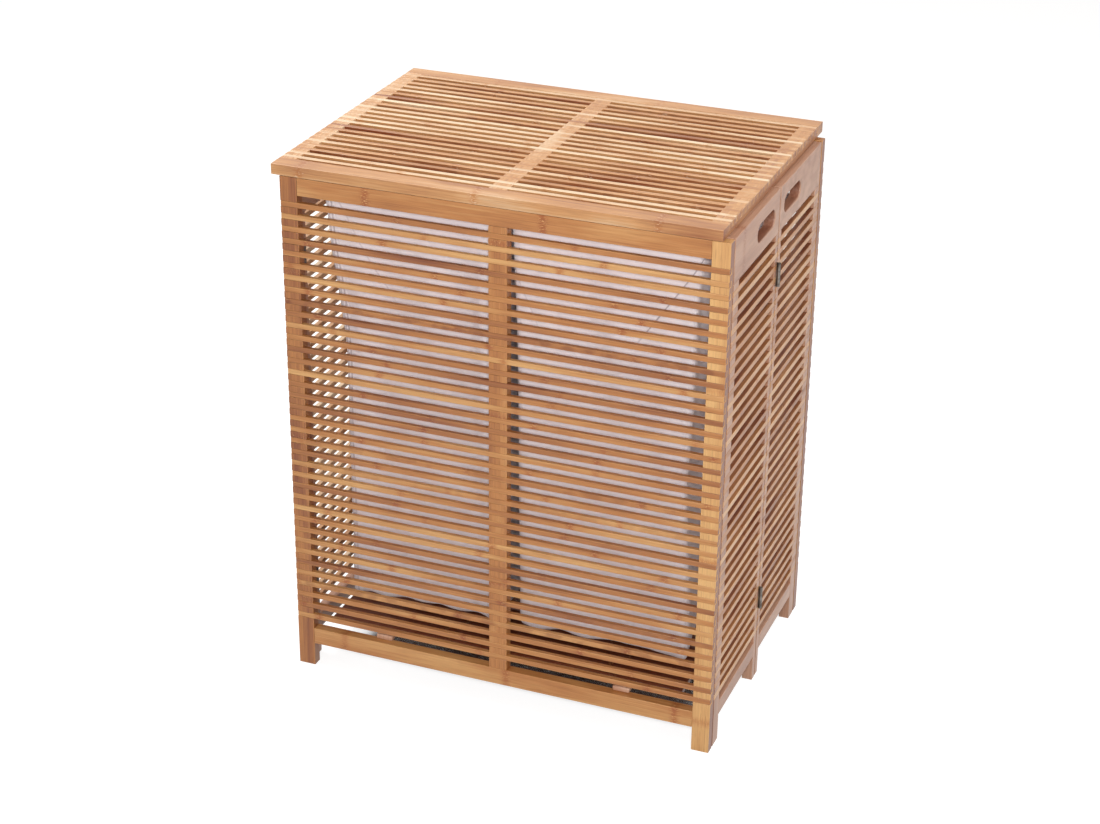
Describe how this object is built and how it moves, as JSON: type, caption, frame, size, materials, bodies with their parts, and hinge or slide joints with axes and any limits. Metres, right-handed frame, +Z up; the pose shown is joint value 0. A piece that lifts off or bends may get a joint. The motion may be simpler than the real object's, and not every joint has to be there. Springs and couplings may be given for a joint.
{
  "type": "laundry hamper with two bins",
  "caption": "Folding slatted bamboo laundry hamper with a hinged slatted lid and two cloth liners side by side.",
  "frame": {"origin": "bottom centre of the bounding box, on the ground under the standing hamper", "axes": "+Z up, +Y to the back where the lid is hinged, +X to the right as seen from the front"},
  "size_m": [0.5118, 0.362, 0.614],
  "materials": {
    "bamboo": "clear satin lacquer on caramel strip bamboo",
    "bamboo_lid": "clear satin lacquer on paler strip bamboo",
    "liner_cloth": "thin plain-woven lilac white cloth",
    "hook_tape": "woven hook tape, matt",
    "hinge_metal": "dull plated steel"
  },
  "bodies": {
    "back_panel": {"back_bottom_rail": "bamboo", "back_left_post": "bamboo", "back_liner_tape": "hook_tape", "back_right_post": "bamboo", "back_slat_rack": "bamboo", "back_top_rail": "bamboo", "hinge_back_left_lower_panel_half": "hinge_metal", "hinge_back_left_upper_panel_half": "hinge_metal", "hinge_back_right_lower_panel_half": "hinge_metal", "hinge_back_right_upper_panel_half": "hinge_metal", "hinge_lid_left_frame_half": "hinge_metal", "hinge_lid_right_frame_half": "hinge_metal", "left_liner": "liner_cloth", "right_liner": "liner_cloth"},
    "right_rear_leaf": {"hinge_back_right_lower_leaf_half": "hinge_metal", "hinge_back_right_upper_leaf_half": "hinge_metal", "hinge_right_middle_lower_rear_half": "hinge_metal", "hinge_right_middle_upper_rear_half": "hinge_metal", "right_rear_leaf_board": "bamboo", "right_rear_leaf_rack": "bamboo", "right_rear_leaf_stile": "bamboo"},
    "right_front_leaf": {"hinge_front_right_lower_leaf_half": "hinge_metal", "hinge_front_right_upper_leaf_half": "hinge_metal", "hinge_right_middle_lower_front_half": "hinge_metal", "hinge_right_middle_upper_front_half": "hinge_metal", "right_front_leaf_board": "bamboo", "right_front_leaf_rack": "bamboo", "right_front_leaf_stile": "bamboo"},
    "front_panel": {"front_bottom_rail": "bamboo", "front_left_post": "bamboo", "front_liner_tape": "hook_tape", "front_right_post": "bamboo", "front_slat_rack": "bamboo", "front_top_rail": "bamboo", "hinge_front_left_lower_panel_half": "hinge_metal", "hinge_front_left_upper_panel_half": "hinge_metal", "hinge_front_right_lower_panel_half": "hinge_metal", "hinge_front_right_upper_panel_half": "hinge_metal"},
    "left_rear_leaf": {"hinge_back_left_lower_leaf_half": "hinge_metal", "hinge_back_left_upper_leaf_half": "hinge_metal", "hinge_left_middle_lower_rear_half": "hinge_metal", "hinge_left_middle_upper_rear_half": "hinge_metal", "left_rear_leaf_board": "bamboo", "left_rear_leaf_rack": "bamboo", "left_rear_leaf_stile": "bamboo"},
    "left_front_leaf": {"hinge_front_left_lower_leaf_half": "hinge_metal", "hinge_front_left_upper_leaf_half": "hinge_metal", "hinge_left_middle_lower_front_half": "hinge_metal", "hinge_left_middle_upper_front_half": "hinge_metal", "left_front_leaf_board": "bamboo", "left_front_leaf_rack": "bamboo", "left_front_leaf_stile": "bamboo"},
    "lid": {"hinge_lid_left_lid_half": "hinge_metal", "hinge_lid_right_lid_half": "hinge_metal", "lid_back_rail": "bamboo_lid", "lid_front_rail": "bamboo_lid", "lid_left_stile": "bamboo_lid", "lid_right_stile": "bamboo_lid", "lid_slat_rack": "bamboo_lid"},
    "floor_board": {"floor_board": "bamboo"}
  },
  "joints": [
    {"name": "frame_fold", "type": "hinge", "parent": "back_panel", "child": "right_rear_leaf", "pos_m": [0.2373, 0.1527, 0.3], "axis": [0, 0, -1], "range_deg": [0, 80], "deforming": ["left_liner", "right_liner", "floor_board"]},
    {"name": "right_middle_hinge", "type": "hinge", "parent": "right_rear_leaf", "child": "right_front_leaf", "pos_m": [0.2539, -0.005, 0.3], "axis": [0, 0, 1], "range_deg": [0, 160]},
    {"name": "front_right_corner_hinge", "type": "hinge", "parent": "right_front_leaf", "child": "front_panel", "pos_m": [0.2373, -0.1627, 0.3], "axis": [0, 0, -1], "range_deg": [0, 80]},
    {"name": "back_left_corner_hinge", "type": "hinge", "parent": "back_panel", "child": "left_rear_leaf", "pos_m": [-0.2341, 0.1527, 0.3], "axis": [0, 0, 1], "range_deg": [0, 80]},
    {"name": "left_middle_hinge", "type": "hinge", "parent": "left_rear_leaf", "child": "left_front_leaf", "pos_m": [-0.2507, -0.005, 0.3], "axis": [0, 0, -1], "range_deg": [0, 160]},
    {"name": "floor_board_turn", "type": "hinge", "parent": "back_panel", "child": "floor_board", "pos_m": [0.0016, 0.1537, 0.0616], "axis": [-1, 0, 0], "range_deg": [0, 90]},
    {"name": "lid_hinge", "type": "hinge", "parent": "back_panel", "child": "lid", "pos_m": [0.0016, 0.1693, 0.5997], "axis": [-1, 0, 0], "range_deg": [0, 100]}
  ],
  "couplings": [
    {"joint": "right_middle_hinge", "follows": "frame_fold", "ratio": 2},
    {"joint": "front_right_corner_hinge", "follows": "frame_fold", "ratio": 1},
    {"joint": "back_left_corner_hinge", "follows": "frame_fold", "ratio": 1},
    {"joint": "left_middle_hinge", "follows": "frame_fold", "ratio": 2},
    {"joint": "floor_board_turn", "follows": "frame_fold", "ratio": 1.125}
  ]
}
